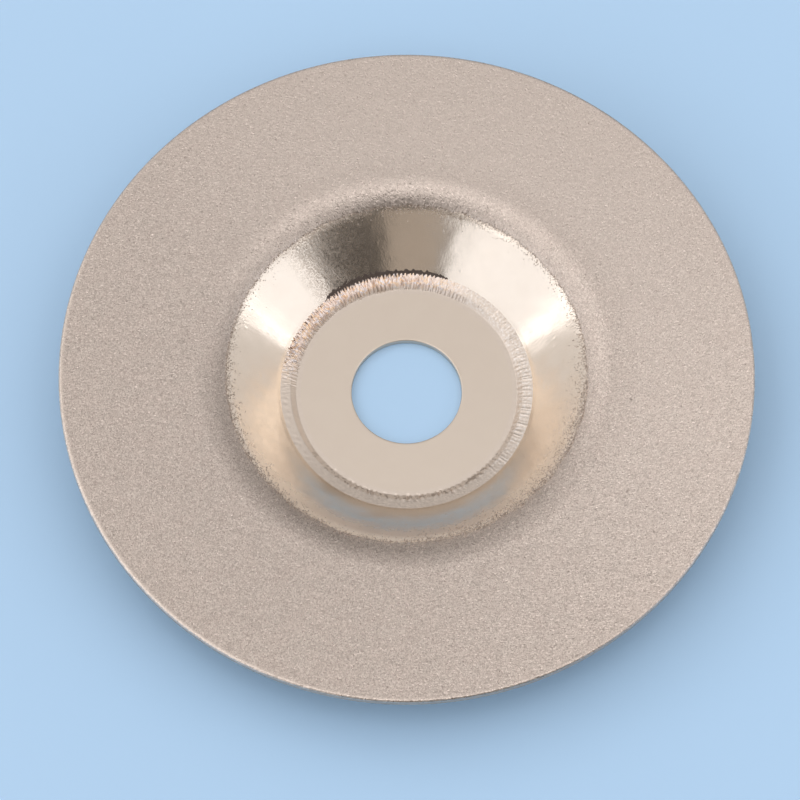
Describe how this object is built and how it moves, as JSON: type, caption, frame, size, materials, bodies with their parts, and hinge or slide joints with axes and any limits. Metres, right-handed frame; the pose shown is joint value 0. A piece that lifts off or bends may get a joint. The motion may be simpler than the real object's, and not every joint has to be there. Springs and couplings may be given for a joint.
{
  "type": "diamond grinding wheel",
  "caption": "Dished round grinding wheel with a flat grit-coated flange, a bright cone-walled recess and a central bore.",
  "frame": {"origin": "on the bore's axis at the hub's underside, which is the wheel's lowest face", "axes": "+Z along the bore's axis, from the grinder's side towards the grit face; the wheel is round, so +X and +Y are free"},
  "size_m": [0.1, 0.1, 0.0104],
  "materials": {
    "pressed_steel": "pressed sheet steel, hidden under the plating",
    "bright_nickel": "bright champagne nickel with a faint orange peel",
    "back_nickel": "satin champagne nickel",
    "matt_nickel": "matt, finely grained nickel bond",
    "diamond_grit": "fine nickel-coated diamond crystals, matt with small glints"
  },
  "bodies": {
    "root": {"steel_core": "pressed_steel", "recess_plating": "bright_nickel", "back_plating": "back_nickel", "nickel_bond": "matt_nickel", "diamond_grit": "diamond_grit"}
  },
  "joints": []
}
